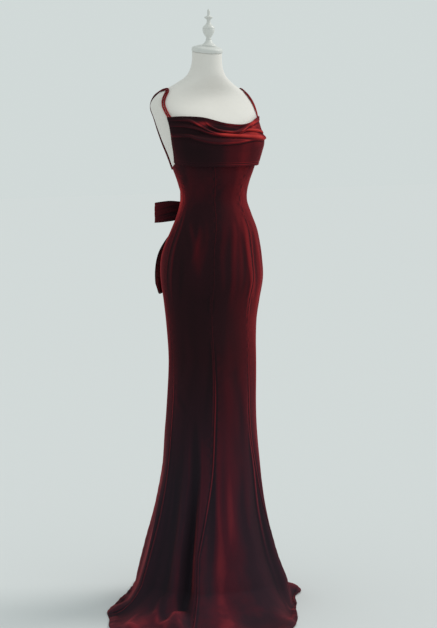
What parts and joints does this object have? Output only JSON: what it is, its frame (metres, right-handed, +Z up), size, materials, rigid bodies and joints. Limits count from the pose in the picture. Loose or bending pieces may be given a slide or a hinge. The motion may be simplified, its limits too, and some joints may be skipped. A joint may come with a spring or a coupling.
{
  "type": "mermaid dress on a dress form",
  "caption": "Long velvet mermaid dress with a draped cowl, thin straps, a low back with a bow and a pooled hem, worn by a limbless dress form on a stand.",
  "frame": {"origin": "on the floor, at the centre of the underside of the stand's foot, under the pole", "axes": "+Z up along the pole; the dress faces -Y; +X is the wearer's left side"},
  "size_m": [0.7547, 0.7866, 1.8603],
  "materials": {
    "velvet": "deep burgundy velvet with a short shiny nap",
    "velvet_straps": "burgundy velvet, sewn as thin tubes",
    "velvet_bow": "burgundy velvet, doubled into a bow",
    "form_cloth": "close-knit off-white cover, matt",
    "white_paint": "white paint on a turned cap, satin",
    "stand_steel": "white paint on steel, satin"
  },
  "bodies": {
    "root": {"centre_front": "velvet", "side_front_left": "velvet", "side_front_right": "velvet", "side_back_left": "velvet", "side_back_right": "velvet", "centre_back_left": "velvet", "centre_back_right": "velvet", "cowl_overlay": "velvet", "strap_left_inner": "velvet_straps", "strap_left_outer": "velvet_straps", "strap_right_inner": "velvet_straps", "strap_right_outer": "velvet_straps", "bow_loop_left": "velvet_bow", "bow_loop_right": "velvet_bow", "bow_knot": "velvet_bow", "bow_tail_left": "velvet_bow", "bow_tail_right": "velvet_bow", "dress_form_torso": "form_cloth", "neck_cap": "white_paint", "stand_pole": "stand_steel", "stand_foot": "stand_steel"}
  },
  "joints": []
}
